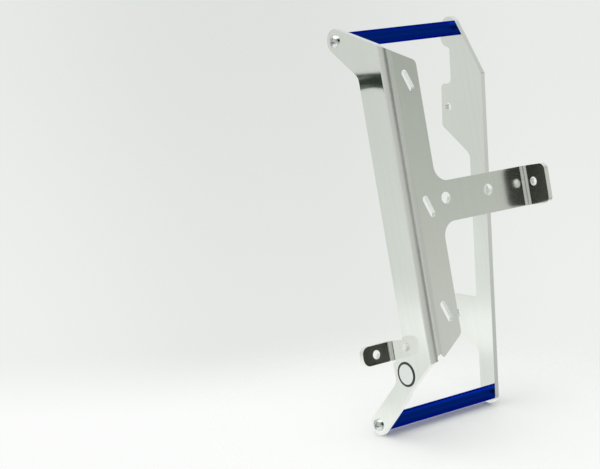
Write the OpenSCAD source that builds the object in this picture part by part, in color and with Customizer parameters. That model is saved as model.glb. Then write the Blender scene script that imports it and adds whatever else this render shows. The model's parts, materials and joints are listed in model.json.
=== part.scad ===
// Radiator guard for an off-road motorcycle, right-hand one of a pair
// x runs along the spacers, from the folded outer plate to the back plate
// y runs back from the front face, z runs up along the fold

/* [Sheet] */
// thickness of both plates
sheet_t = 4; // [3:0.5:5]
// inside radius of the fold and of the arm's flap
bend_in = 4; // [2:0.5:6]
// inside radius of the small tab's bend
tab_bend_in = 2.5; // [2:0.5:5]

/* [Spacers] */
// length of both spacers, the free width for the radiator
spacer_len = 114; // [90:1:140]
// diameter of both spacers
spacer_d = 12; // [10:0.5:16]
// chamfer on the spacers' ends
spacer_chamfer = 0.6; // [0.2:0.1:1.5]
// depth of the tapped hole in each end
tap_depth = 16; // [10:1:24]
// upper spacer, distance behind the front face
top_y = 55; // [45:0.5:65]
// upper spacer, height above the arm's middle
top_z = 133.5; // [110:0.5:150]
// lower spacer, distance behind the front face
low_y = 81; // [60:0.5:95]
// lower spacer, height above the arm's middle
low_z = -165; // [-185:0.5:-140]

/* [Outer plate, side] */
// width of the side wall from the front face
side_w = 34.5; // [25:0.5:45]
// radius of the upper ears around the upper spacer's screws
ear_r = 9.5; // [8:0.5:12]
// radius of the lower ear around the lower spacer's screw
low_ear_r = 8.3; // [7:0.1:12]
// drop of the slanted top edge, at the fold, below the upper spacer's axis
top_edge_drop = 13.5; // [4:0.5:24]
// slope of the top edge in degrees
top_slope = 23; // [0:1:40]
// drop of the upper ear's lower edge, where it leaves the side wall, below that axis
ear_foot_drop = 30.8; // [20:0.1:50]
// rise of the bottom edge, at the fold, above the lower spacer's axis
low_edge_rise = 46.8; // [36:0.1:51]
// distance behind the front face where the bottom edge first turns down
kink_y = 36.5; // [26:0.5:38]
// rise of that turn above the lower spacer's axis
kink_rise = 25.9; // [23:0.1:30]
// distance behind the front face where it turns towards the lower ear
kink_low_y = 44.3; // [42:0.1:50]
// rise of that second turn above the lower spacer's axis
kink_low_rise = 17.9; // [13:0.1:19]
// reach of the lower side wall behind the small tab's bend
low_side_over = 2.8; // [1.6:0.1:8.5]
// rise of the place where the lower side wall turns towards the lower ear, above that axis
low_side_rise = 33.5; // [25:0.5:40]

/* [Outer plate, front] */
// width of the front wall from the side face
front_w = 29; // [22:0.5:40]
// drop of the front wall's slanted bottom edge, at the side face, below the side wall's
front_low_drop = 1.8; // [-4:0.1:4]
// slope of that bottom edge in degrees
front_low_slope = 35; // [0:1:45]
// radius of the round relief notch at the fold's lower end
relief_r = 3; // [1:0.1:3.5]
// height of the cross arm
arm_h = 31; // [20:0.5:40]
// radius where the arm meets the front wall
arm_fillet = 12; // [4:0.5:20]
// distance from the side face to the flap's inner face
arm_reach = 120; // [100:0.5:140]
// length of the flap, forward of the front face
flap_len = 23; // [16:0.5:30]
// radius of the flap's and the front wall's free corners
free_corner = 5; // [1:0.5:10]

/* [Slots] */
// width of the three slots
slot_w = 5.6; // [4:0.1:8]
// distance between a slot's end centres
slot_c = 12.2; // [6:0.1:20]
// lean of the slots from upright in degrees
slot_lean = 22.5; // [0:0.5:60]
// distance of the slots' middles from the side face
slot_x = 18.4; // [12:0.1:24]
// drop of the upper slot's middle below the top edge at the fold
slot_top_drop = 26.5; // [20:0.5:50]
// height of the middle slot's middle above the arm's middle
slot_mid_z = -1.5; // [-30:0.5:30]
// rise of the lower slot's middle above the front wall's bottom edge at the fold
slot_low_rise = 39; // [30:0.5:60]

/* [Fixing holes] */
// diameter of the two holes in the arm
arm_hole_d = 9; // [6:0.1:11]
// distance of the arm's first hole from the side face
arm_hole_x1 = 36.3; // [30:0.1:60]
// distance of the arm's second hole from the side face
arm_hole_x2 = 80; // [60:0.1:100]
// height of the arm's and flap's holes above the arm's middle
arm_hole_z = 2.5; // [-5:0.1:5]
// diameter of the holes in the flap and the tabs
fix_hole_d = 7; // [5:0.1:9]
// distance of the flap's hole in front of the front face
flap_hole_y = 9.2; // [8:0.1:16]

/* [Small tab] */
// length of the tab, outward from the side face
tab_len = 28; // [18:0.5:40]
// rise of the tab's top edge above the side wall's bottom edge at the fold
tab_rise = 19.2; // [10:0.1:38]
// height of the tab
tab_h = 15; // [10:0.5:22]
// distance of the tab's hole from the side face
tab_hole_x = 15; // [9:0.5:24]
// distance of the tab's front face behind the front face
tab_y = 50; // [40:0.5:60]

/* [Back plate] */
// width of the back plate's strip
strip_w = 17; // [12:0.5:24]
// lean of the strip from upright in degrees
strip_lean = 10; // [0:0.5:20]
// front corner of the back plate, behind the front face
strip_y = 26.9; // [20:0.1:40]
// drop of that corner below the upper spacer's axis
strip_drop = 40.5; // [24:0.5:53]
// reach of the two mounting tabs from the strip's front edge
reach_w = 48; // [36:0.5:60]
// distance of the tabs' holes from the strip's front edge
reach_hole_w = 40; // [28:0.5:52]
// distance down the strip to the upper tab's hole
reach_hole_s1 = 28.7; // [20:0.1:40]
// distance down the strip to the lower tab's hole
reach_hole_s2 = 200; // [180:0.5:215]
// width of the neck under the upper ear, from the strip's front edge
neck_w = 35.4; // [30:0.1:40]
// width at the upper ear's rear lobe
lobe_w = 46.4; // [45:0.1:50]
// distance from the upper spacer's axis down to the lobe's lower edge
lobe_drop = 15; // [12:0.5:20]

/* [Screws] */
// diameter of the screws' pan heads
head_d = 9.5; // [8:0.1:12]
// height of the heads
head_h = 3.2; // [2:0.1:5]
// shank diameter
screw_d = 5; // [4:0.1:6]
// shank length under the head
screw_len = 16; // [10:1:20]
// radial play of the screws in the plates
screw_play = 0.25; // [0.1:0.05:0.5]
// radial play between shank and tapped hole
thread_play = 0.1; // [0.05:0.05:0.3]

/* [Roundel] */
// diameter of the plain disc stuck on the side wall
disc_d = 19.5; // [10:0.5:19.5]
// thickness of the disc
disc_t = 0.4; // [0.2:0.1:1]
// distance of the disc's middle behind the front face
disc_y = 37; // [34:0.1:38]
// rise of the disc's middle above the lower spacer's axis
disc_rise = 40; // [40:0.1:45]

/* [Hidden] */
$fn = 64;
bend_out = bend_in + sheet_t;
back_x = sheet_t + spacer_len;
top = [top_y, top_z];
low = [low_y, low_z];
top_edge_z = top_z - top_edge_drop;
ear_foot_z = top_z - ear_foot_drop;
strip_z = top_z - strip_drop;
low_edge_z = low_z + low_edge_rise;
front_low_z = low_edge_z - front_low_drop;
tab_top_z = low_edge_z + tab_rise;
slot_heights = [top_edge_z - slot_top_drop, slot_mid_z, front_low_z + slot_low_rise];
screw_hole_d = screw_d + 2 * screw_play;
// how far cutters run past a face
past = 1;

// corner radii of the outer plate's side wall
ear_foot_r = 8;
step_r = 4;
low_side_r = 9;
kink_r = 30;
tab_corner = 6;
// the tab's root is this much taller than the tab, with this radius below it
tab_root = 1.5;
tab_root_r = 1.5;
// the relief notch: middle's height above the fold's lower end, and its direction
relief_up = 0.3;
relief_turn = 255;

// the back plate's tabs, measured down the strip from their holes
tab1_top = -19;
tab1_low = 15.5;
tab1_root = 37;
tab2_top = -15;
tab2_low = 11.5;
tab2_root = 28;
// the tabs' outer corners step in by this much
reach_step = 1;
// corner radii of the back plate
front_r = 3;
inner_r = 5;
outer_r = 4;
root_r = 8;
lobe_r = 8;

// screw details: crown of the head, tip and cross recess
crown_r = 9;
tip = 0.8;
recess_d = 5.4;
recess_end_d = 2;
recess_w = 1.1;
recess_h = 2.4;
recess_turn = 20;

// colours by material
metal = [0.78, 0.79, 0.78];
blue = [0.03, 0.12, 0.5];
zinc = [0.7, 0.71, 0.72];
ink = [0.1, 0.1, 0.11];

function unit(v) = v / norm(v);
function turn(v, a) = [v[0] * cos(a) - v[1] * sin(a), v[0] * sin(a) + v[1] * cos(a)];
function side_of(u, v) = u[0] * v[1] - u[1] * v[0];

// points that round the corner b between a and c with radius r
function round_off(a, b, c, r) =
    let (u = unit(a - b), v = unit(c - b), half = acos(u * v) / 2)
    let (m = b + unit(u + v) * r / sin(half), p = b + u * r / tan(half) - m)
    let (q = b + v * r / tan(half) - m, sweep = 180 - 2 * half)
    let (n = max(2, ceil(sweep / 7.5)), s = side_of(p, q) > 0 ? 1 : -1)
    [for (i = [0:n]) m + turn(p, s * sweep * i / n)];

// outline through corners [y, z, radius]; radius 0 keeps the corner sharp
function outline(pts) =
    [for (i = [0:len(pts) - 1])
        let (n = len(pts), a = pts[(i + n - 1) % n], b = pts[i], c = pts[(i + 1) % n])
        for (p = b[2] > 0 ? round_off([a[0], a[1]], [b[0], b[1]], [c[0], c[1]], b[2]) : [[b[0], b[1]]]) p];

// angle from the middle m to where the tangent from p touches the circle of radius r
function touch(p, m, r, s) =
    let (d = norm(p - m), base = atan2(p[1] - m[1], p[0] - m[0]))
    base + s * acos(r / d);

// points on the circle around m of radius r from angle a to angle b
function arc(m, r, a, b) =
    let (n = max(2, ceil(abs(b - a) / 7.5)))
    [for (i = [0:n]) m + r * [cos(a + (b - a) * i / n), sin(a + (b - a) * i / n)]];

// outline corners without a radius
function sharp(p) = [for (q = p) [q[0], q[1], 0]];

// lays a drawing in y and z on the plane x = at, with thickness along +x
module side_sheet(at) {
    translate([at, 0, 0])
        rotate([90, 0, 90])
            linear_extrude(sheet_t)
                children();
}

// lays a drawing in x and z on the plane y = at, with thickness along +y
module front_sheet(at) {
    translate([0, at + sheet_t, 0])
        rotate([90, 0, 0])
            linear_extrude(sheet_t)
                children();
}

// round hole along x
module hole_x(x, y, z, d, depth) {
    translate([x, y, z])
        rotate([0, 90, 0])
            cylinder(d = d, h = depth);
}

// round hole along y
module hole_y(x, y, z, d, depth) {
    translate([x, y, z])
        rotate([-90, 0, 0])
            cylinder(d = d, h = depth);
}

// slot through the front wall
module slot(z) {
    translate([slot_x, -past, z])
        rotate([0, -slot_lean, 0]) {
            for (end = [-1, 1])
                hole_y(0, 0, end * slot_c / 2, slot_w, sheet_t + 2 * past);
            translate([-slot_w / 2, 0, -slot_c / 2])
                cube([slot_w, sheet_t + 2 * past, slot_c]);
        }
}

// heights of the slanted edges where they reach the fold
fold_top_side = top_edge_z + bend_out * tan(top_slope);
fold_top_front = top_edge_z - bend_out * tan(top_slope);
fold_low_front = front_low_z + bend_out * tan(front_low_slope);

// side wall in y and z, from the fold's end to both ears
module side_drawing() {
    top_edge = [bend_out, fold_top_side];
    ear_foot = [side_w, ear_foot_z];
    step_y = tab_y - tab_bend_in;
    low_side = [step_y + low_side_over, low_z + low_side_rise];
    kink = [kink_low_y, low_z + kink_low_rise];
    step_low_z = tab_top_z - tab_h - tab_root;
    top_ear = arc(top, ear_r, touch(top_edge, top, ear_r, -1), touch(ear_foot, top, ear_r, 1) - 360);
    low_ear = arc(low, low_ear_r, touch(low_side, low, low_ear_r, -1), touch(kink, low, low_ear_r, 1) - 360);
    polygon(outline(concat(
        [[bend_out, low_edge_z, 0]],
        [[bend_out, fold_top_side, 0]],
        sharp(top_ear),
        [[side_w, ear_foot_z, ear_foot_r]],
        [[side_w, tab_top_z, step_r]],
        [[step_y, tab_top_z, 0]],
        [[step_y, step_low_z, 0]],
        [[low_side[0], step_low_z, tab_root_r]],
        [[low_side[0], low_side[1], low_side_r]],
        sharp(low_ear),
        [[kink[0], kink[1], kink_r]],
        [[kink_y, low_z + kink_rise, kink_r]]
    )));
}

// front wall and cross arm in x and z
module front_drawing() {
    arm_end = arm_reach - bend_in;
    polygon(outline([
        [bend_out, fold_low_front, 0],
        [bend_out, fold_top_front, 0],
        [front_w, top_edge_z - front_w * tan(top_slope), free_corner],
        [front_w, arm_h / 2, arm_fillet],
        [arm_end, arm_h / 2, 0],
        [arm_end, -arm_h / 2, 0],
        [front_w, -arm_h / 2, arm_fillet],
        [front_w, front_low_z + front_w * tan(front_low_slope), free_corner]
    ]));
}

// blank beyond the fold's slanted end, whose near face climbs evenly from the side's
// height to the front's; up is 1 for the top end and -1 for the bottom end
module fold_trim(z_side, z_front, up) {
    steps = 8;
    r0 = bend_in - past;
    r1 = bend_out + past;
    far = up * (abs(z_side - z_front) + 3 * past);
    section = [[r0, 0], [r1, 0], [r1, far], [r0, far]];
    points = [for (i = [-1:steps + 1])
        let (a = 180 + 90 * i / steps, z = z_side + (z_front - z_side) * i / steps)
        for (q = section) [bend_out + q[0] * cos(a), bend_out + q[0] * sin(a), z + q[1]]];
    last = 4 * (steps + 2);
    walls = [for (k = [0:4:last - 4])
        for (j = [0:3])
            let (m = (j + 1) % 4)
            for (f = [[k + j, k + m, k + 4 + m], [k + j, k + 4 + m, k + 4 + j]]) f];
    faces = concat(walls, [[3, 2, 1, 0], [last, last + 1, last + 2, last + 3]]);
    polyhedron(points, up > 0 ? faces : [for (f = faces) [for (j = [len(f) - 1:-1:0]) f[j]]]);
}

// quarter bend about an upright axis
module bend(r, z0, z1) {
    rotate_extrude(angle = 90)
        translate([r, z0])
            square([sheet_t, z1 - z0]);
}

// fold between the side wall and the front wall, with both ends slanted
module fold() {
    base = min(low_edge_z, fold_low_front) - past;
    difference() {
        translate([bend_out, bend_out, 0])
            rotate([0, 0, 180])
                bend(bend_in, base, fold_top_side + past);
        fold_trim(fold_top_side, fold_top_front, 1);
        fold_trim(low_edge_z, fold_low_front, -1);
    }
}

// round relief notch that keeps the sheet from tearing where the fold ends
module relief() {
    translate([bend_out, bend_out, fold_low_front + relief_up])
        rotate([0, 90, relief_turn])
            translate([0, 0, bend_in - past])
                cylinder(r = relief_r, h = sheet_t + 2 * past);
}

// flap at the arm's end, bent forward
module flap() {
    translate([arm_reach - bend_in, -bend_in, 0])
        bend(bend_in, -arm_h / 2, arm_h / 2);
    side_sheet(arm_reach)
        polygon(outline([
            [-bend_in, -arm_h / 2, 0],
            [-bend_in, arm_h / 2, 0],
            [-flap_len, arm_h / 2, free_corner],
            [-flap_len, -arm_h / 2, free_corner]
        ]));
}

// small tab, bent outward from the side wall
module small_tab() {
    low = tab_top_z - tab_h;
    translate([-tab_bend_in, tab_y - tab_bend_in, 0])
        bend(tab_bend_in, low, tab_top_z);
    front_sheet(tab_y)
        polygon(outline([
            [-tab_bend_in, low, 0],
            [-tab_bend_in, tab_top_z, 0],
            [-tab_len, tab_top_z, tab_corner],
            [-tab_len, low, tab_corner]
        ]));
}

// folded plate on the outer side: side wall, fold, front wall with cross arm, flap and tab
module outer_plate() {
    through = sheet_t + 2 * past;
    color(metal)
        difference() {
            union() {
                side_sheet(0)
                    side_drawing();
                fold();
                front_sheet(0)
                    front_drawing();
                flap();
                small_tab();
            }
            relief();
            for (z = slot_heights)
                slot(z);
            for (x = [arm_hole_x1, arm_hole_x2])
                hole_y(x, -past, arm_hole_z, arm_hole_d, through);
            hole_x(arm_reach - past, -flap_hole_y, arm_hole_z, fix_hole_d, through);
            hole_y(-tab_hole_x, tab_y - past, tab_top_z - tab_h / 2, fix_hole_d, through);
            for (c = [top, low])
                hole_x(-past, c[0], c[1], screw_hole_d, through);
        }
}

// a place given across (w) and down (s) the back plate's strip, in y and z
function strip_at(w, s) = [strip_y, strip_z] + turn([w, -s], strip_lean);
// a point in y and z, in the strip's own drawing
function on_strip(p) = turn(p - [strip_y, strip_z], -strip_lean);

// back plate in the strip's own drawing: strip upright, front edge at zero
module back_drawing() {
    t = on_strip(top);
    b = on_strip(low);
    lobe = [lobe_w, t[1] - lobe_drop];
    s1 = reach_hole_s1;
    s2 = reach_hole_s2;
    polygon(outline(concat(
        [[0, 0, front_r]],
        sharp(arc(b, strip_w / 2, 180, 360)),
        [[strip_w, -s2 - tab2_root, root_r]],
        [[reach_w - reach_step, -s2 - tab2_low, outer_r]],
        [[reach_w - reach_step, -s2 - tab2_top, outer_r]],
        [[strip_w, -s2 - tab2_top, inner_r]],
        [[strip_w, -s1 - tab1_root, root_r]],
        [[reach_w, -s1 - tab1_low, outer_r]],
        [[reach_w - reach_step, -s1 - tab1_top, outer_r]],
        [[neck_w, -s1 - tab1_top, inner_r]],
        [[neck_w, lobe[1], inner_r / 2]],
        [[lobe[0], lobe[1], lobe_r]],
        sharp(arc(t, ear_r, touch(lobe, t, ear_r, 1), touch([0, 0], t, ear_r, -1) + 360))
    )));
}

// flat plate on the inner side, with two mounting tabs
module back_plate() {
    through = sheet_t + 2 * past;
    tab_holes = [strip_at(reach_hole_w, reach_hole_s1), strip_at(reach_hole_w, reach_hole_s2)];
    color(metal)
        difference() {
            side_sheet(back_x)
                translate([strip_y, strip_z])
                    rotate(strip_lean)
                        back_drawing();
            for (c = tab_holes)
                hole_x(back_x - past, c[0], c[1], fix_hole_d, through);
            for (c = [top, low])
                hole_x(back_x - past, c[0], c[1], screw_hole_d, through);
        }
}

// round bar with a tapped hole in each end
module spacer() {
    r = spacer_d / 2;
    c = spacer_chamfer;
    tap_r = screw_d / 2 + thread_play;
    rotate([0, 90, 0])
        rotate_extrude()
            polygon([
                [0, tap_depth + tap_r * 0.6],
                [tap_r, tap_depth],
                [tap_r, 0],
                [r - c, 0],
                [r, c],
                [r, spacer_len - c],
                [r - c, spacer_len],
                [tap_r, spacer_len],
                [tap_r, spacer_len - tap_depth],
                [0, spacer_len - tap_depth - tap_r * 0.6]
            ]);
}

module top_spacer() {
    color(blue)
        translate([sheet_t, top[0], top[1]])
            spacer();
}

module low_spacer() {
    color(blue)
        translate([sheet_t, low[0], low[1]])
            spacer();
}

// cross recess of a head whose crown is at z = -head_h
module recess() {
    intersection() {
        translate([0, 0, -head_h - 0.01])
            cylinder(d1 = recess_d, d2 = recess_end_d, h = recess_h);
        for (a = [0, 90])
            rotate([0, 0, a + recess_turn])
                translate([-recess_d, -recess_w / 2, -head_h - past])
                    cube([2 * recess_d, recess_w, recess_h + 2 * past]);
    }
}

// pan-head screw, head at the origin, shank along +x
module screw() {
    rotate([0, 90, 0])
        difference() {
            union() {
                intersection() {
                    translate([0, 0, -head_h])
                        cylinder(d = head_d, h = head_h);
                    translate([0, 0, crown_r - head_h])
                        sphere(r = crown_r);
                }
                cylinder(d = screw_d, h = screw_len - tip);
                translate([0, 0, screw_len - tip])
                    cylinder(d1 = screw_d, d2 = screw_d - 2 * tip, h = tip);
            }
            recess();
        }
}

// screw on the outer plate at the place c
module outer_screw(c) {
    color(zinc)
        translate([0, c[0], c[1]])
            screw();
}

// screw on the back plate at the place c
module back_screw(c) {
    color(zinc)
        translate([back_x + sheet_t, c[0], c[1]])
            rotate([0, 0, 180])
                screw();
}

// plain disc stuck on the side wall
module roundel() {
    edge = disc_t / 4;
    color(ink)
        translate([0, disc_y, low_z + disc_rise])
            rotate([0, -90, 0])
                rotate_extrude()
                    polygon([
                        [0, 0],
                        [disc_d / 2, 0],
                        [disc_d / 2, disc_t - edge],
                        [disc_d / 2 - edge, disc_t],
                        [0, disc_t]
                    ]);
}

// the part's own frame has its origin in the middle of the flap's hole
module in_frame() {
    translate([-arm_reach - sheet_t / 2, flap_hole_y, -arm_hole_z])
        children();
}

in_frame() outer_plate();
in_frame() back_plate();
in_frame() top_spacer();
in_frame() low_spacer();
in_frame() outer_screw(top);  // screw_outer_top
in_frame() outer_screw(low);  // screw_outer_low
in_frame() back_screw(top);  // screw_back_top
in_frame() back_screw(low);  // screw_back_low
in_frame() roundel();
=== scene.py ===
import json
import math

import bmesh
import bpy
import numpy as np
from bpy.props import FloatProperty, FloatVectorProperty, IntProperty, PointerProperty
from mathutils import Matrix, Vector


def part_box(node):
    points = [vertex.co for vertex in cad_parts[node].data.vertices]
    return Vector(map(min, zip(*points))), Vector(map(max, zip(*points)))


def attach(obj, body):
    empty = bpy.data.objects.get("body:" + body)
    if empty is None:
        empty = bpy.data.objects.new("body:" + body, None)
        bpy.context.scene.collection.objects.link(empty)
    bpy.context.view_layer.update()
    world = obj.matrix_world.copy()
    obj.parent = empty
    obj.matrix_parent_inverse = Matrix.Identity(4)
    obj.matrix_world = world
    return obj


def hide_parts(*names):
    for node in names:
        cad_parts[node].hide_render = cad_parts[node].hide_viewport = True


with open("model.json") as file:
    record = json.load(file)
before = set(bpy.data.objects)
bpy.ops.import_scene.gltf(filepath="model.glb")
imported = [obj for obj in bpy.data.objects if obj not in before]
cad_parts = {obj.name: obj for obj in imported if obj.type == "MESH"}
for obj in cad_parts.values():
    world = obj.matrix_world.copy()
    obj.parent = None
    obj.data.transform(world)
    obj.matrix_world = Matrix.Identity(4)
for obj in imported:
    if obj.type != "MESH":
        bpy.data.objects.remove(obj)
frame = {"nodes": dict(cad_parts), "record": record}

bl_info = {
    "name": "Radiator guard dressing",
    "version": (1, 0, 0),
    "blender": (4, 5, 0),
    "location": "3D View > Sidebar > Radiator Guard",
    "description": "Dresses the packed radiator guard and sets its stage, lamps and camera",
    "category": "Object",
}

MM = 0.001
TAU = 2 * math.pi
BODY = "root"
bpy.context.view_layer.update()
MOUNTS = {m["name"]: m for m in frame["record"]["mounts"]}

# thickness of both sheets, from the bore in the flap
SHEET = MOUNTS["flap_hole"]["dims"]["length_mm"] * MM
# middle planes of the walls, from the bores that go through them
FLAP_X = MOUNTS["flap_hole"]["pos_m"][0]
FRONT_Y = MOUNTS["arm_hole_near"]["pos_m"][1]
TAB_Y = MOUNTS["small_tab_hole"]["pos_m"][1]
SIDE_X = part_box("top_spacer")[0].x - SHEET / 2

# how far the table's up is turned from the guard's own, which leans back on it
TABLE_LEAN = math.radians(15.97)
TABLE_UP = Vector((0, -math.sin(TABLE_LEAN), math.cos(TABLE_LEAN)))
# height of the table over the origin, measured along that direction
TABLE_DROP = -0.1943
# how far the middle of the table top lies towards +X and towards the guard's front
TABLE_SHIFT = (-0.06, -0.035)
# the camera's place, and the azimuth, elevation and roll it looks from, in degrees
CAMERA_PLACE = Vector((-0.9262, -0.9399, 0.0385))
CAMERA_AZIMUTH = -36.42
CAMERA_ELEVATION = 2.14
CAMERA_ROLL = -9.73
SENSOR_WIDTH = 36
# middle and width of the lamp
LAMP_PLACE = TABLE_UP * 2.3 + Vector((-0.9, 0.45, 0))
LAMP_WIDTH = 3.0
# the dark glowing strip that only the side wall mirrors, a painted reflection: its upper corner,
# its run along the upper edge, its height at the ends and how much less it hangs in the middle
FLAG_CORNER = Vector((-0.1975, 0.1545, 0.1105))
FLAG_RUN = Vector((-0.002, -0.062, -0.006))
FLAG_HEIGHT = 17.1 * MM
FLAG_RISE = 5.1 * MM

# material numbers on the sheets
SKIN, CUT, BEND, TAB, FRONT = range(5)

# tones of the tent, the table and the room as the polished metal mirrors them
CLOTH = (0.74, 0.772, 0.72)
LOW_CLOTH = (0.79, 0.83, 0.765)
NEAR_CLOTH = (0.96, 1.0, 0.95)
FOLDED_CLOTH = (0.66, 0.69, 0.65)
LIT_TABLE = (1.04, 1.08, 1.03)
SHADED_TABLE = (0.82, 0.86, 0.80)
LOW_ROOM = (0.66, 0.68, 0.63)
HIGH_ROOM = (0.42, 0.45, 0.40)
LEFT_WALL = (0.56, 0.58, 0.54)
BACK_WALL = (0.50, 0.52, 0.50)
CEILING = (1.0, 1.0, 1.0)
RIGHT_FLOOR = (0.36, 0.37, 0.37)
TABLE_BELOW = (0.95, 0.96, 0.95)
WINDOW = (1.11, 1.13, 1.09)
STAND = (0.026, 0.028, 0.018)
# emitted glow of that strip, dim with two brighter streaks: a painted reflection in the side wall,
# not lit cloth
FLAG_DARK_GLOW = (0.024, 0.036, 0.026)
FLAG_STREAK_GLOW = (0.23, 0.27, 0.24)
# the tent as dull surfaces see it, and the table far off as the camera sees it
FILL = (0.735, 0.745, 0.735)
FAR_TABLE = (0.965, 0.975, 0.965)


class SheetSettings(bpy.types.PropertyGroup):
    """Finish of the folded plate and the flat plate."""

    edge_round: FloatProperty(
        name="Edge rounding",
        description="Width of the broken edge all round the sheets",
        default=0.35 * MM, min=0, unit="LENGTH",
    )
    tone: FloatVectorProperty(
        name="Metal", description="Colour of the polished sheet",
        default=(0.82, 0.83, 0.815), size=3, min=0, max=1, subtype="COLOR",
    )
    cut_tone: FloatVectorProperty(
        name="Cut edge", description="Colour of the cut edges and hole walls",
        default=(0.88, 0.89, 0.875), size=3, min=0, max=1, subtype="COLOR",
    )
    gloss_low: FloatProperty(
        name="Lowest roughness", description="Roughness where the polish is best",
        default=0.06, min=0, max=1, subtype="FACTOR",
    )
    gloss_high: FloatProperty(
        name="Highest roughness", description="Roughness where the sheet was handled",
        default=0.12, min=0, max=1, subtype="FACTOR",
    )
    front_haze: FloatProperty(
        name="Front haze", description="Roughness that the front wall and its arm have on top",
        default=0.08, min=0, max=1, subtype="FACTOR",
    )
    bend_haze: FloatProperty(
        name="Bend haze", description="Roughness that the press adds on the bends",
        default=0.26, min=0, max=1, subtype="FACTOR",
    )
    over_bend: FloatProperty(
        name="Over-bend", description="How far the small tab's shading is turned past square",
        default=math.radians(7), subtype="ANGLE",
    )


class SpacerSettings(bpy.types.PropertyGroup):
    """Sizes and finish of the two blue bars."""

    chamfer: FloatProperty(
        name="Chamfer", description="Chamfer on the bars' ends",
        default=0.6 * MM, min=0, unit="LENGTH",
    )
    tap_depth: FloatProperty(
        name="Tapped depth", description="Depth of the thread in each end",
        default=16 * MM, min=0, unit="LENGTH",
    )
    tone: FloatVectorProperty(
        name="Blue", description="Colour of the anodised bars",
        default=(0.0016, 0.025, 0.27), size=3, min=0, max=1, subtype="COLOR",
    )
    segments: IntProperty(
        name="Segments", description="Faces round a bar", default=72, min=24, max=128,
    )


class ScrewSettings(bpy.types.PropertyGroup):
    """Sizes and finish of the four pan-head screws."""

    shank: FloatProperty(
        name="Shank", description="Outer diameter of the thread",
        default=5 * MM, min=0, unit="LENGTH",
    )
    head_height: FloatProperty(
        name="Head height", description="Height of the pan head",
        default=3.2 * MM, min=0, unit="LENGTH",
    )
    crown: FloatProperty(
        name="Crown radius", description="Radius of the head's crown",
        default=7 * MM, min=0, unit="LENGTH",
    )
    recess_reach: FloatProperty(
        name="Recess reach", description="How far the cross recess reaches from the middle",
        default=3.0 * MM, min=0, unit="LENGTH",
    )
    recess_width: FloatProperty(
        name="Recess width", description="Width of the cross recess's arms",
        default=1.5 * MM, min=0, unit="LENGTH",
    )
    recess_depth: FloatProperty(
        name="Recess depth", description="Depth of the cross recess",
        default=2.2 * MM, min=0, unit="LENGTH",
    )
    recess_turn: FloatProperty(
        name="Recess turn", description="Angle of the cross recess",
        default=math.radians(20), subtype="ANGLE",
    )
    pitch: FloatProperty(
        name="Pitch", description="Pitch of the thread", default=0.8 * MM, min=0, unit="LENGTH",
    )
    tone: FloatVectorProperty(
        name="Zinc", description="Colour of the plated screws",
        default=(0.74, 0.75, 0.77), size=3, min=0, max=1, subtype="COLOR",
    )


class RoundelSettings(bpy.types.PropertyGroup):
    """Sizes and colours of the blank round label."""

    rim: FloatProperty(
        name="Rim", description="Width of the dark rim", default=1.85 * MM, min=0, unit="LENGTH",
    )
    rim_tone: FloatVectorProperty(
        name="Rim colour", description="Colour of the dark rim",
        default=(0.004, 0.005, 0.0045), size=3, min=0, max=1, subtype="COLOR",
    )
    field_tone: FloatVectorProperty(
        name="Middle colour", description="Colour of the blank middle",
        default=(0.80, 0.83, 0.82), size=3, min=0, max=1, subtype="COLOR",
    )


class StageSettings(bpy.types.PropertyGroup):
    """Table, tent, lamp and lens."""

    lens: FloatProperty(
        name="Lens", description="Focal length in millimetres, on a 36 mm wide sensor",
        default=100.84, min=10, unit="CAMERA",
    )
    table_reach: FloatProperty(
        name="Table radius", description="Radius of the round table top",
        default=0.5, min=0.2, unit="LENGTH",
    )
    table_tone: FloatVectorProperty(
        name="Table", description="Colour of the table",
        default=(0.90, 0.91, 0.90), size=3, min=0, max=1, subtype="COLOR",
    )
    wall_tone: FloatVectorProperty(
        name="Tent wall", description="Brightness of the tent's cloth at its brightest",
        default=(0.855, 0.88, 0.855), size=3, min=0, max=1, subtype="COLOR",
    )
    lamp_power: FloatProperty(
        name="Lamp", description="Power of the soft overhead lamp in watts",
        default=33, min=0, unit="POWER",
    )


def add(tree, kind, inputs=None, **settings):
    """Adds a node, with its settings and its inputs: each a value, or a socket to link from."""
    made = tree.nodes.new(kind)
    for key, value in settings.items():
        setattr(made, key, value)
    for key, value in (inputs or {}).items():
        if isinstance(value, bpy.types.NodeSocket):
            tree.links.new(value, made.inputs[key])
        else:
            made.inputs[key].default_value = value
    return made


def step(tree, value, low, high, bottom=0.0, top=1.0):
    """Socket that goes smoothly from bottom to top while value goes from low to high."""
    inputs = {0: value, 1: low, 2: high, 3: bottom, 4: top}
    return add(tree, "ShaderNodeMapRange", inputs, interpolation_type="SMOOTHSTEP").outputs[0]


def maths(tree, operation, *values):
    """Socket with the result of a Math node."""
    return add(tree, "ShaderNodeMath", dict(enumerate(values)), operation=operation).outputs[0]


def product(tree, *values):
    """Socket with the product of all the values."""
    result = values[0]
    for value in values[1:]:
        result = maths(tree, "MULTIPLY", result, value)
    return result


def band(tree, value, low, full_low, full_high, high):
    """Socket that is 1 from full_low to full_high and falls smoothly to 0 at low and at high."""
    return product(tree, step(tree, value, low, full_low), step(tree, value, high, full_high))


def with_alpha(tone):
    """A tone as a colour socket takes it; a socket is passed on as it is."""
    return tone if isinstance(tone, bpy.types.NodeSocket) else (*tone, 1)


def mix_tone(tree, share, first, second):
    """Socket with a colour that goes from the first to the second with the share."""
    inputs = {0: share, 6: with_alpha(first), 7: with_alpha(second)}
    return add(tree, "ShaderNodeMix", inputs, data_type="RGBA").outputs[2]


def stretched_noise(tree, scale, detail, frequency=1.0):
    """Noise on Object coordinates, with its own number of grains per metre along each axis."""
    place = add(tree, "ShaderNodeTexCoord").outputs["Object"]
    spread = add(tree, "ShaderNodeMapping", {"Vector": place, "Scale": scale}).outputs[0]
    return add(
        tree, "ShaderNodeTexNoise", {"Vector": spread, "Scale": frequency, "Detail": detail}
    ).outputs["Fac"]


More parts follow.
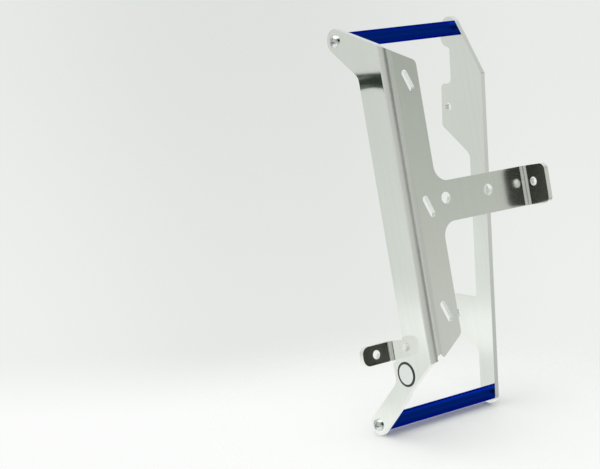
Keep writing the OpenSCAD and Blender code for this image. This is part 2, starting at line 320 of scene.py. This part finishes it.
def bump(tree, height, distance, below=None):
    """Bump of a height pattern, distance deep, on top of another bump if one is given."""
    inputs = {"Height": height, "Distance": distance, "Strength": 1.0}
    if below is not None:
        inputs["Normal"] = below
    return add(tree, "ShaderNodeBump", inputs).outputs[0]


def finish(name, tone, metallic, roughness=0.5):
    """New material with one surface shader; returns the material, its tree and the shader."""
    material = bpy.data.materials.new(name)
    material.use_nodes = True
    tree = material.node_tree
    shader = tree.nodes["Principled BSDF"]
    shader.inputs["Base Color"].default_value = (*tone, 1)
    shader.inputs["Metallic"].default_value = metallic
    shader.inputs["Roughness"].default_value = roughness
    material.diffuse_color = (*tone, 1)
    return material, tree, shader


def polished_sheet(name, settings, haze_up=0.0, turn=0.0):
    """Polished aluminium: slow waves of rolled sheet, upright grain, hazy handled patches.

    haze_up is added to the roughness, and the shading is turned about z by turn.
    """
    material, tree, shader = finish(name, settings.tone, 1.0)
    haze = stretched_noise(tree, (18, 18, 9), 3)
    grain = stretched_noise(tree, (2600, 2600, 60), 2)
    streaks = stretched_noise(tree, (420, 420, 7), 3)
    waves = stretched_noise(tree, (14, 14, 8), 1)
    low, high = settings.gloss_low + haze_up, settings.gloss_high + haze_up
    tree.links.new(step(tree, haze, 0.35, 0.7, low, high), shader.inputs["Roughness"])
    dull = [0.975 * c for c in settings.tone]
    streaked = mix_tone(tree, step(tree, streaks, 0.3, 0.75), settings.tone, dull)
    tree.links.new(streaked, shader.inputs["Base Color"])
    facing = add(tree, "ShaderNodeNewGeometry").outputs["Normal"]
    if turn:
        facing = add(
            tree, "ShaderNodeVectorRotate", {"Vector": facing, "Angle": turn},
            rotation_type="Z_AXIS",
        ).outputs[0]
    wavy = bump(tree, waves, 0.10 * MM, facing)
    tree.links.new(bump(tree, grain, 0.0012 * MM, wavy), shader.inputs["Normal"])
    return material


def cut_edge(settings):
    """Cut edge of the sheet: duller, with fine lines left by the cut."""
    material, tree, shader = finish("cut_edge", settings.cut_tone, 1.0)
    lines = stretched_noise(tree, (1800, 1800, 1800), 3)
    roughness = step(tree, lines, 0.3, 0.7, 0.28, 0.42)
    tree.links.new(roughness, shader.inputs["Roughness"])
    tree.links.new(bump(tree, lines, 0.01 * MM), shader.inputs["Normal"])
    return material


def blue_anodised(settings):
    """Deep blue anodised aluminium with the fine rings left by the lathe."""
    material, tree, shader = finish("blue_anodised", settings.tone, 1.0)
    rings = stretched_noise(tree, (4200, 0, 0), 2)
    cloud = stretched_noise(tree, (60, 60, 60), 3)
    roughness = step(tree, cloud, 0.3, 0.7, 0.3, 0.4)
    tree.links.new(roughness, shader.inputs["Roughness"])
    tree.links.new(bump(tree, rings, 0.002 * MM), shader.inputs["Normal"])
    shader.inputs["Specular Tint"].default_value = (0.06, 0.2, 0.42, 1)
    return material


def zinc_plate(settings):
    """Bright zinc plating with a faint cloud in its gloss."""
    material, tree, shader = finish("zinc_plate", settings.tone, 1.0)
    cloud = stretched_noise(tree, (700, 700, 700), 3)
    roughness = step(tree, cloud, 0.3, 0.7, 0.08, 0.18)
    tree.links.new(roughness, shader.inputs["Roughness"])
    tree.links.new(bump(tree, cloud, 0.006 * MM), shader.inputs["Normal"])
    return material


def label_film(name, tone, roughness):
    """Printed label film: a soft gloss with a faint orange peel."""
    material, tree, shader = finish(name, tone, 0.0)
    peel = stretched_noise(tree, (900, 900, 900), 2)
    gloss = step(tree, peel, 0.3, 0.7, roughness, roughness + 0.1)
    tree.links.new(gloss, shader.inputs["Roughness"])
    tree.links.new(bump(tree, peel, 0.004 * MM), shader.inputs["Normal"])
    shader.inputs["Coat Weight"].default_value = 0.2
    shader.inputs["Coat Roughness"].default_value = 0.15
    return material


def grid_faces(rows, columns):
    """Four-cornered faces of a grid of points whose last column joins its first."""
    row, column = np.meshgrid(np.arange(rows - 1), np.arange(columns), indexing="ij")
    here = row * columns + column
    beside = row * columns + (column + 1) % columns
    return np.stack([here, beside, beside + columns, here + columns], -1).reshape(-1, 4)


def skin(name, points, materials, row_material=None):
    """Closed object from a grid of points whose first and last rows are single places.

    points[i, j] is a place; the columns j run once round. row_material gives the material's
    number for each band between two rows.
    """
    rows, columns = points.shape[:2]
    mesh = bpy.data.meshes.new(name)
    mesh.from_pydata(points.reshape(-1, 3), [], grid_faces(rows, columns))
    for material in materials:
        mesh.materials.append(material)
    if row_material is not None:
        mesh.polygons.foreach_set("material_index", np.repeat(row_material, columns))
    built = bmesh.new()
    built.from_mesh(mesh)
    bmesh.ops.remove_doubles(built, verts=built.verts, dist=1e-7)
    bmesh.ops.recalc_face_normals(built, faces=built.faces)
    built.to_mesh(mesh)
    built.free()
    mesh.polygons.foreach_set("use_smooth", np.ones(len(mesh.polygons), bool))
    mesh.set_sharp_from_angle(angle=math.radians(28))
    made = bpy.data.objects.new(name, mesh)
    bpy.context.scene.collection.objects.link(made)
    return made


def settle(piece, node):
    """Puts a finished piece on the guard's body in the place of its CAD node."""
    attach(piece, BODY)
    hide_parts(node)


def turned(along, radius, angles, place):
    """Points of a turned shape about an axis along x.

    With distance a along the axis, radius r and angle t, a point is
    place + (a, r cos t, r sin t); radius may differ for each angle.
    """
    along = np.broadcast_to(along[:, None], (len(along), len(angles)))
    radius = np.broadcast_to(radius, along.shape)
    rings = np.stack([along, radius * np.cos(angles), radius * np.sin(angles)], -1)
    return rings + np.array(place)


def ramp(*corners, steps=1):
    """Places along the straight lines between corners, steps to each line."""
    corners = np.array(corners, float)
    share = np.arange(steps)[:, None] / steps
    lines = [a + (b - a) * share for a, b in zip(corners[:-1], corners[1:])]
    return np.concatenate([*lines, corners[-1:]])


def thread_wave(along, angles, pitch):
    """Height from 0 to 1 of a thread: a triangle wave of a / pitch - t / turn."""
    phase = (along[:, None] / pitch - angles[None, :] / TAU) % 1.0
    return 1 - np.abs(2 * phase - 1)


def sheet_copy(node, settings, x_planes, y_planes):
    """A CAD sheet with merged corners, joined flat faces, broken edges and its cut edges apart.

    A face belongs to the sheet's skin if it lies half a sheet from a wall's middle plane, and to
    a bend if its normal is level and turned between the walls'. Each of y_planes comes with the
    number of its own finish. Every other face is a cut edge.
    """
    mesh = frame["nodes"][node].data.copy()
    mesh.name = node + "_sheet"
    built = bmesh.new()
    built.from_mesh(mesh)
    bmesh.ops.remove_doubles(built, verts=built.verts, dist=1e-6)
    bmesh.ops.dissolve_limit(
        built, angle_limit=math.radians(0.3), verts=built.verts, edges=built.edges
    )
    built.to_mesh(mesh)
    built.free()

    count = len(mesh.polygons)
    normal = np.empty(count * 3)
    centre = np.empty(count * 3)
    mesh.polygons.foreach_get("normal", normal)
    mesh.polygons.foreach_get("center", centre)
    normal = np.abs(normal.reshape(-1, 3))
    centre = centre.reshape(-1, 3)
    near = 0.05 * MM
    level = normal[:, 2] < 0.01
    between = np.minimum(normal[:, 0], normal[:, 1]) > 0.02
    kind = np.full(count, CUT)
    kind[level & between] = BEND
    skins = [(0, middle, SKIN) for middle in x_planes]
    skins += [(1, middle, number) for middle, number in y_planes]
    for axis, middle, number in skins:
        apart = np.abs(np.abs(centre[:, axis] - middle) - SHEET / 2)
        kind[(apart < near) & (normal[:, axis] > 0.99)] = number

    mesh.materials.clear()
    mesh.materials.append(polished_sheet("polished_sheet", settings))
    mesh.materials.append(cut_edge(settings))
    if y_planes:
        mesh.materials.append(polished_sheet("bent_sheet", settings, settings.bend_haze))
        mesh.materials.append(polished_sheet("tab_sheet", settings, turn=settings.over_bend))
        mesh.materials.append(polished_sheet("front_sheet", settings, settings.front_haze))
    mesh.polygons.foreach_set("material_index", kind)
    mesh.polygons.foreach_set("use_smooth", np.ones(count, bool))
    piece = bpy.data.objects.new(mesh.name, mesh)
    bpy.context.scene.collection.objects.link(piece)
    broken = piece.modifiers.new("broken edges", "BEVEL")
    broken.width = settings.edge_round
    broken.segments = 2
    broken.limit_method = "ANGLE"
    broken.angle_limit = math.radians(35)
    even = piece.modifiers.new("even shading", "WEIGHTED_NORMAL")
    even.weight = 90
    settle(piece, node)
    return piece


class GUARD_OT_dress_plates(bpy.types.Operator):
    """Polishes the folded plate and the flat plate and breaks their edges"""

    bl_idname = "guard.dress_plates"
    bl_label = "Dress the plates"

    def execute(self, context):
        settings = context.scene.guard_sheet
        back_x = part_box("back_plate")[0].x + SHEET / 2
        fronts = ((FRONT_Y, FRONT), (TAB_Y, TAB))
        sheet_copy("outer_plate", settings, (SIDE_X, FLAP_X), fronts)
        sheet_copy("back_plate", settings, (back_x,), ())
        return {"FINISHED"}


def spacer_bar(node, settings, screws, material):
    """Turned bar with a chamfer and a tapped hole at each end.

    Half the outline runs from the bar's middle over its chamfer and end face into the bore,
    whose wall is r = bore + tooth * wave, down to the drill's conical point; the other half is
    its mirror image.
    """
    low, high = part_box(node)
    length = high.x - low.x
    radius = (high.z - low.z) / 2
    play = 0.1 * MM
    bore = screws.shank / 2 + play
    mouth = 0.4 * MM
    tooth = 0.3 * MM
    depth = settings.tap_depth
    point = depth + 0.6 * bore
    # five rows of points to each turn of the thread
    rows = 5 * round((depth - 2 * mouth) / screws.pitch)
    angles = np.linspace(0, TAU, settings.segments, endpoint=False)

    body = ramp((length / 2, radius), (settings.chamfer, radius), steps=6)
    face = ramp(
        (settings.chamfer, radius), (0, radius - settings.chamfer), (0, bore + mouth), (mouth, bore)
    )
    wall = ramp((mouth, bore), (depth - mouth, bore), steps=rows)
    end = ramp((depth - mouth, bore), (depth, bore), (point, 0))
    half = np.concatenate([body[:-1], face[:-1], wall[:-1], end])
    threaded = np.concatenate(
        [np.zeros(len(body) + len(face) - 1), np.ones(len(wall) - 2), np.zeros(len(end))]
    )
    along = np.concatenate([length - half[:0:-1, 0], half[:, 0]])
    outline = np.concatenate([half[:0:-1, 1], half[:, 1]])
    threaded = np.concatenate([threaded[:0:-1], threaded])
    cut = tooth * thread_wave(along, angles, screws.pitch) * threaded[:, None]
    centre = (low + high) / 2
    points = turned(along, outline[:, None] + cut, angles, (low.x, centre.y, centre.z))
    piece = skin(node + "_bar", points, [material])
    settle(piece, node)
    return piece


class GUARD_OT_dress_spacers(bpy.types.Operator):
    """Turns the two blue spacer bars with their tapped ends"""

    bl_idname = "guard.dress_spacers"
    bl_label = "Dress the spacers"

    def execute(self, context):
        settings = context.scene.guard_spacer
        material = blue_anodised(settings)
        for node in ("top_spacer", "low_spacer"):
            spacer_bar(node, settings, context.scene.guard_screw, material)
        return {"FINISHED"}


def cross_depth(y, z, settings):
    """Depth of the cross recess at a place on the head.

    In each arm's own directions, u along it and v across it, the depth is the smallest of
    the full depth, 1.3 (reach - |u|) and 6 (half width - |v|), and the deeper arm counts.
    """
    turn = settings.recess_turn
    u = y * math.cos(turn) + z * math.sin(turn)
    v = z * math.cos(turn) - y * math.sin(turn)
    arms = []
    for first, second in ((u, v), (v, u)):
        slope = 1.3 * (settings.recess_reach - np.abs(first))
        wall = 6 * (settings.recess_width / 2 - np.abs(second))
        arms.append(np.clip(np.minimum(slope, wall), 0, settings.recess_depth))
    return np.maximum(*arms)


def pan_screw(node, settings, material):
    """Pan-head screw along x, with its cross recess and a rolled thread.

    The head's crown is a = -height + crown - sqrt(crown^2 - r^2), less the recess; its edge is
    rounded and its foot bevelled, and the shank is r = root + tooth * wave down to a conical
    tip.
    """
    low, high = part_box(node)
    centre = (low + high) / 2
    outward = -1 if node.startswith("screw_outer") else 1
    seat = (low.x if outward < 0 else high.x) - outward * settings.head_height
    length = (high.x - low.x) - settings.head_height
    rim = (high.y - low.y) / 2
    tooth = 0.5 * MM
    root = settings.shank / 2 - tooth
    tip = 0.8 * MM
    tip_taper = 0.6 * MM
    soft = 0.35 * MM
    bevel = 0.2 * MM
    neck = 0.3 * MM
    # the rows of points are close together as far out as the recess
    fine = 3 * MM
    angles = np.linspace(0, TAU, 96, endpoint=False)

    top_r = np.concatenate([np.linspace(0, fine, 31), np.linspace(fine, rim - soft, 6)[1:]])
    top_a = -settings.head_height + settings.crown - np.sqrt(settings.crown**2 - top_r**2)
    shoulder = top_a[-1] + 0.3 * soft
    round_off = np.linspace(0, math.pi / 2, 6)[1:]
    edge_r = rim - soft + soft * np.sin(round_off)
    edge_a = shoulder + soft * (1 - np.cos(round_off))
    foot = ramp((-bevel, rim), (0, rim - bevel), (0, root + neck), (neck, root))
    # six rows of points to each turn of the thread
    rows = 6 * round((length - tip - neck) / settings.pitch)
    shank = ramp((neck, root), (length - tip, root), steps=rows)[1:]
    end = ramp((length - tip, root), (length, root - tip_taper), (length, 0))[1:]
    along = np.concatenate([top_a, edge_a, foot[:, 0], shank[:, 0], end[:, 0]])
    radius = np.concatenate([top_r, edge_r, foot[:, 1], shank[:, 1], end[:, 1]])
    threaded = np.zeros(len(along))
    threaded[-len(end) - len(shank) : -len(end)] = 1
    thread = tooth * thread_wave(along, angles, settings.pitch) * threaded[:, None]
    points = turned(along, radius[:, None] + thread, angles, (0, 0, 0))
    head = slice(0, len(top_r))
    points[head, :, 0] += cross_depth(points[head, :, 1], points[head, :, 2], settings)
    points = points * (-outward, 1, 1) + (seat, centre.y, centre.z)
    piece = skin(node + "_pan", points, [material])
    settle(piece, node)
    return piece


class GUARD_OT_dress_screws(bpy.types.Operator):
    """Makes the four pan-head screws with cross recess and thread"""

    bl_idname = "guard.dress_screws"
    bl_label = "Dress the screws"

    def execute(self, context):
        settings = context.scene.guard_screw
        material = zinc_plate(settings)
        for side in ("outer", "back"):
            for level in ("top", "low"):
                pan_screw(f"screw_{side}_{level}", settings, material)
        return {"FINISHED"}


def round_label(settings):
    """Thin disc with a blank middle and a dark rim.

    Its outline runs from the middle of the face to the edge, which is rounded as a quarter
    circle, a = soft (1 - cos t) and r = radius - soft (1 - sin t), and back to the middle
    behind.
    """
    low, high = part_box("roundel")
    centre = (low + high) / 2
    radius = (high.y - low.y) / 2
    thick = high.x - low.x
    inner = radius - settings.rim
    soft = thick / 3
    turn = np.linspace(0, math.pi / 2, 5)
    field = ramp((0, 0), (0, inner), steps=6)
    rim = ramp((0, inner), (0, radius - soft), steps=2)[1:-1]
    edge = np.stack([soft * (1 - np.cos(turn)), radius - soft * (1 - np.sin(turn))], -1)
    back = ramp((thick, radius), (thick, 0))
    outline = np.concatenate([field, rim, edge, back])
    bands = np.where(np.arange(len(outline) - 1) < len(field) - 1, 0, 1)
    angles = np.linspace(0, TAU, 96, endpoint=False)
    points = turned(outline[:, 0], outline[:, 1:], angles, (low.x, centre.y, centre.z))
    films = [
        label_film("label_field", settings.field_tone, roughness=0.3),
        label_film("label_rim", settings.rim_tone, roughness=0.25),
    ]
    piece = skin("roundel_film", points, films, bands)
    settle(piece, "roundel")
    return piece


class GUARD_OT_dress_roundel(bpy.types.Operator):
    """Makes the blank round label with its dark rim"""

    bl_idname = "guard.dress_roundel"
    bl_label = "Dress the roundel"

    def execute(self, context):
        round_label(context.scene.guard_roundel)
        return {"FINISHED"}


def camera_axes():
    """The camera's right, up and back directions from its azimuth, elevation and roll."""
    azimuth = math.radians(CAMERA_AZIMUTH)
    elevation = math.radians(CAMERA_ELEVATION)
    roll = math.radians(CAMERA_ROLL)
    back = Vector(
        (
            math.sin(azimuth) * math.cos(elevation),
            -math.cos(azimuth) * math.cos(elevation),
            math.sin(elevation),
        )
    )
    right = Vector((math.cos(azimuth), math.sin(azimuth), 0))
    up = back.cross(right)
    rolled_right = math.cos(roll) * right + math.sin(roll) * up
    rolled_up = math.cos(roll) * up - math.sin(roll) * right
    return rolled_right, rolled_up, back


def set_camera(settings):
    """Camera at the photograph's place, with its axes as the columns of its matrix."""
    lens = bpy.data.cameras.new("camera")
    lens.lens = settings.lens
    lens.sensor_width = SENSOR_WIDTH
    lens.clip_start = 0.05
    camera = bpy.data.objects.new("camera", lens)
    bpy.context.scene.collection.objects.link(camera)
    turned_to = Matrix(camera_axes()).transposed().to_4x4()
    camera.matrix_world = Matrix.Translation(CAMERA_PLACE) @ turned_to
    bpy.context.scene.camera = camera


def along_direction(tree, direction, axis):
    """Socket with the share of a direction along an axis."""
    return add(
        tree, "ShaderNodeVectorMath", {0: direction, 1: axis}, operation="DOT_PRODUCT"
    ).outputs["Value"]


def pale_wall(tree, settings, direction, rise, right):
    """What the camera sees: cloth a little shaded behind the guard, over a white table."""
    across = along_direction(tree, direction, Vector((right.x, right.y, 0)).normalized())
    # the shade's middle is a little left of straight ahead
    apart = maths(tree, "ABSOLUTE", maths(tree, "ADD", across, 0.02))
    side = step(tree, apart, 0.02, 0.18, 0.0, 0.6)
    low = step(tree, rise, -0.12, -0.33, 0.0, 0.4)
    shaded = [0.86 * c for c in settings.wall_tone]
    cloth = mix_tone(tree, maths(tree, "ADD", side, low), shaded, settings.wall_tone)
    return mix_tone(tree, step(tree, rise, -0.320, -0.360), cloth, FAR_TABLE)


def cloth_over_table(tree, direction, rise, leftward):
    """The tent's cloth with its soft folds, over the table with a shaded band near its edge."""
    cloth = mix_tone(tree, step(tree, rise, -0.21, -0.30), CLOTH, LOW_CLOTH)
    near = product(tree, step(tree, leftward, 0.645, 0.67), step(tree, rise, -0.2, -0.31))
    cloth = mix_tone(tree, near, cloth, NEAR_CLOTH)
    folds = add(tree, "ShaderNodeTexNoise", {"Vector": direction, "Scale": 16, "Detail": 3})
    soft = step(tree, folds.outputs["Fac"], 0.35, 0.65, 0.0, 0.5)
    cloth = mix_tone(tree, soft, cloth, FOLDED_CLOTH)
    shade = band(tree, rise, -0.357, -0.349, -0.326, -0.317)
    table = mix_tone(tree, shade, LIT_TABLE, SHADED_TABLE)
    return mix_tone(tree, step(tree, rise, -0.293, -0.301), cloth, table)


def mirrored_room(tree, direction, rise, back):
    """What the polished metal sees: cloth behind, a white table, a dim room in front with the
    dark camera stand, and a bright window low beside the stand.

    Every part is a layer over the ones before it, with a share that goes from 0 to 1 by how
    far a direction points up, ahead, to the left or aside from the camera.
    """
    ahead = along_direction(tree, direction, (0, -1, 0))
    leftward = along_direction(tree, direction, (-1, 0, 0))
    flat_back = Vector((back.x, back.y, 0)).normalized()
    aside = along_direction(tree, direction, flat_back.cross(Vector((0, 0, 1))))
    in_front = step(tree, along_direction(tree, direction, flat_back), 0.2, 0.4)

    room = mix_tone(tree, step(tree, rise, 0.06, 0.3), LOW_ROOM, HIGH_ROOM)
    right_floor = product(
        tree,
        step(tree, leftward, -0.3, -0.5),
        step(tree, ahead, -0.1, 0.2),
        step(tree, rise, -0.05, -0.3),
    )
    window = product(
        tree, band(tree, aside, -0.36, -0.28, -0.15, -0.11), step(tree, rise, 0.22, 0.16), in_front
    )
    stand = product(
        tree,
        band(tree, aside, -0.11, -0.05, 0.36, 0.42),
        band(tree, rise, -0.03, 0.02, 0.5, 0.6),
        in_front,
    )
    layers = (
        (step(tree, ahead, 0.15, 0.65), room),
        (step(tree, leftward, 0.80, 0.92), LEFT_WALL),
        (step(tree, ahead, -0.86, -0.93), BACK_WALL),
        (step(tree, rise, 0.7, 0.95), CEILING),
        (right_floor, RIGHT_FLOOR),
        (step(tree, rise, -0.6, -0.8), TABLE_BELOW),
        (window, WINDOW),
        (stand, STAND),
    )
    glow = cloth_over_table(tree, direction, rise, leftward)
    for share, tone in layers:
        glow = mix_tone(tree, share, glow, tone)
    return glow


def set_tent(settings):
    """World light by direction, with its own tones for the camera, for the polished metal
    and for the light that falls on dull surfaces."""
    world = bpy.data.worlds.new("tent")
    bpy.context.scene.world = world
    world.use_nodes = True
    tree = world.node_tree
    tree.nodes.clear()
    right, _, back = camera_axes()
    direction = add(tree, "ShaderNodeTexCoord").outputs["Generated"]
    rise = along_direction(tree, direction, TABLE_UP)
    pale = pale_wall(tree, settings, direction, rise, right)
    glow = mirrored_room(tree, direction, rise, back)
    path = add(tree, "ShaderNodeLightPath")
    tone = mix_tone(tree, path.outputs["Is Camera Ray"], FILL, pale)
    tone = mix_tone(tree, path.outputs["Is Glossy Ray"], tone, glow)
    sky = add(tree, "ShaderNodeBackground", {"Color": tone, "Strength": 1.0})
    shown = add(tree, "ShaderNodeOutputWorld")
    tree.links.new(sky.outputs[0], shown.inputs["Surface"])


def table_material(settings, centre):
    """Pale table that fades into the tent away from its centre and isn't seen from below."""
    material, tree, shader = finish("table", settings.table_tone, 0.0, 0.6)
    grain = stretched_noise(tree, (40, 40, 40), 3)
    tree.links.new(step(tree, grain, 0.3, 0.7, 0.55, 0.65), shader.inputs["Roughness"])
    place = add(tree, "ShaderNodeTexCoord").outputs["Object"]
    away = add(
        tree, "ShaderNodeVectorMath", {0: place, 1: centre}, operation="DISTANCE"
    ).outputs["Value"]
    fade = step(tree, away, settings.table_reach * 0.06, settings.table_reach * 0.52)
    under = add(tree, "ShaderNodeNewGeometry").outputs["Backfacing"]
    clear = maths(tree, "MAXIMUM", fade, under)
    gone = add(tree, "ShaderNodeBsdfTransparent").outputs[0]
    both = add(tree, "ShaderNodeMixShader", {0: clear, 1: shader.outputs[0], 2: gone})
    tree.links.new(both.outputs[0], tree.nodes["Material Output"].inputs["Surface"])
    return material


def set_table(settings):
    """Round table top under the guard's foot, square to the table's up.

    A point is centre + r (cos t e1 + sin t e2).
    """
    first = Vector((1, 0, 0))
    second = first.cross(TABLE_UP)
    centre = TABLE_UP * TABLE_DROP + TABLE_SHIFT[0] * first + TABLE_SHIFT[1] * second
    angles = np.linspace(0, TAU, 96, endpoint=False)
    reach = np.linspace(0, settings.table_reach, 12)[:, None, None]
    flat = np.cos(angles)[:, None] * np.array(first) + np.sin(angles)[:, None] * np.array(second)
    points = np.array(centre) + reach * flat
    mesh = bpy.data.meshes.new("table")
    mesh.from_pydata(points.reshape(-1, 3), [], grid_faces(*points.shape[:2]))
    mesh.materials.append(table_material(settings, centre))
    table = bpy.data.objects.new("table", mesh)
    bpy.context.scene.collection.objects.link(table)
    table.visible_glossy = False


def glowing_flag_material():
    """Dark strip that glows faintly, with two brighter glowing streaks that paint a reflection into
    the side wall, placed by its own UV map: u along it from its rear end and v down it. The upper
    streak is where v + 0.23 u is near 0.35."""
    material, tree, shader = finish("flag", (0.0, 0.0, 0.0), 0.0, 1.0)
    place = add(tree, "ShaderNodeTexCoord").outputs["UV"]
    split = add(tree, "ShaderNodeSeparateXYZ", {0: place})
    along, level = split.outputs["X"], split.outputs["Y"]
    slanted = maths(tree, "MULTIPLY_ADD", along, 0.23, level)
    upper = band(tree, slanted, 0.26, 0.32, 0.38, 0.44)
    lower = band(tree, level, 0.76, 0.8, 0.82, 0.87)
    streaks = product(tree, maths(tree, "MAXIMUM", upper, lower), step(tree, along, 0.68, 0.3))
    # both tones are emitted: painted glow for the reflection, not cloth under the lamp
    tone = mix_tone(tree, streaks, FLAG_DARK_GLOW, FLAG_STREAK_GLOW)
    tree.links.new(tone, shader.inputs["Emission Color"])
    shader.inputs["Emission Strength"].default_value = 1.0
    shader.inputs["Specular IOR Level"].default_value = 0.0
    return material


def set_glowing_flag():
    """Dark glowing strip left of the guard that only the polished metal shows, as a painted
    reflection.

    Its upper edge is a straight line, and its lower edge hangs height - rise sin(pi u) below it.
    """
    count = 25
    u = np.linspace(0, 1, count)[:, None]
    high = np.array(FLAG_CORNER) + u * np.array(FLAG_RUN)
    low = high + (FLAG_RISE * np.sin(u * math.pi) - FLAG_HEIGHT) * np.array((0, 0, 1))
    mesh = bpy.data.meshes.new("flag")
    first = np.arange(count - 1)[:, None] * 2
    mesh.from_pydata(np.stack([high, low], 1).reshape(-1, 3), [], first + np.array((0, 1, 3, 2)))
    corner = np.empty(len(mesh.loops), int)
    mesh.loops.foreach_get("vertex_index", corner)
    places = np.stack([corner // 2 / (count - 1), corner % 2], -1)
    mesh.uv_layers.new(name="flag").data.foreach_set("uv", places.ravel())
    mesh.materials.append(glowing_flag_material())
    flag = bpy.data.objects.new("flag", mesh)
    bpy.context.scene.collection.objects.link(flag)
    # only glossy rays see the strip: its glow is a painted reflection and lights nothing
    flag.visible_camera = False
    flag.visible_diffuse = False
    flag.visible_shadow = False


def set_lamp(settings):
    """Wide soft lamp over the table, to its left and a little behind."""
    light = bpy.data.lights.new("overhead", "AREA")
    light.shape = "DISK"
    light.size = LAMP_WIDTH
    light.energy = settings.lamp_power
    lamp = bpy.data.objects.new("overhead", light)
    bpy.context.scene.collection.objects.link(lamp)
    lamp.location = LAMP_PLACE
    lamp.rotation_mode = "QUATERNION"
    lamp.rotation_quaternion = (-LAMP_PLACE).to_track_quat("-Z", "Y")


class GUARD_OT_set_stage(bpy.types.Operator):
    """Sets the table, the tent's light, the glowing flag that paints a reflection in the metal, the
    lamp and the camera
    """

    bl_idname = "guard.set_stage"
    bl_label = "Set the stage"

    def execute(self, context):
        settings = context.scene.guard_stage
        set_camera(settings)
        set_tent(settings)
        set_table(settings)
        set_glowing_flag()
        set_lamp(settings)
        context.scene.view_settings.view_transform = "Standard"
        return {"FINISHED"}


OPERATORS = (
    GUARD_OT_dress_plates,
    GUARD_OT_dress_spacers,
    GUARD_OT_dress_screws,
    GUARD_OT_dress_roundel,
    GUARD_OT_set_stage,
)
SETTINGS = {
    "guard_sheet": SheetSettings,
    "guard_spacer": SpacerSettings,
    "guard_screw": ScrewSettings,
    "guard_roundel": RoundelSettings,
    "guard_stage": StageSettings,
}


class GUARD_PT_panel(bpy.types.Panel):
    """Lists the guard's settings and operators"""

    bl_idname = "GUARD_PT_panel"
    bl_label = "Radiator Guard"
    bl_space_type = "VIEW_3D"
    bl_region_type = "UI"
    bl_category = "Radiator Guard"

    def draw(self, context):
        for name, group in SETTINGS.items():
            box = self.layout.box()
            for key in group.__annotations__:
                box.prop(getattr(context.scene, name), key)
        for operator in OPERATORS:
            self.layout.operator(operator.bl_idname)


def register():
    for group in SETTINGS.values():
        bpy.utils.register_class(group)
    for name, group in SETTINGS.items():
        setattr(bpy.types.Scene, name, PointerProperty(type=group))
    for kind in (*OPERATORS, GUARD_PT_panel):
        bpy.utils.register_class(kind)


def unregister():
    for kind in (GUARD_PT_panel, *reversed(OPERATORS)):
        bpy.utils.unregister_class(kind)
    for name, group in SETTINGS.items():
        delattr(bpy.types.Scene, name)
        bpy.utils.unregister_class(group)


def main():
    """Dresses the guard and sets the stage."""
    register()
    bpy.ops.guard.dress_plates()
    bpy.ops.guard.dress_spacers()
    bpy.ops.guard.dress_screws()
    bpy.ops.guard.dress_roundel()
    bpy.ops.guard.set_stage()


if __name__ == "__main__":
    main()
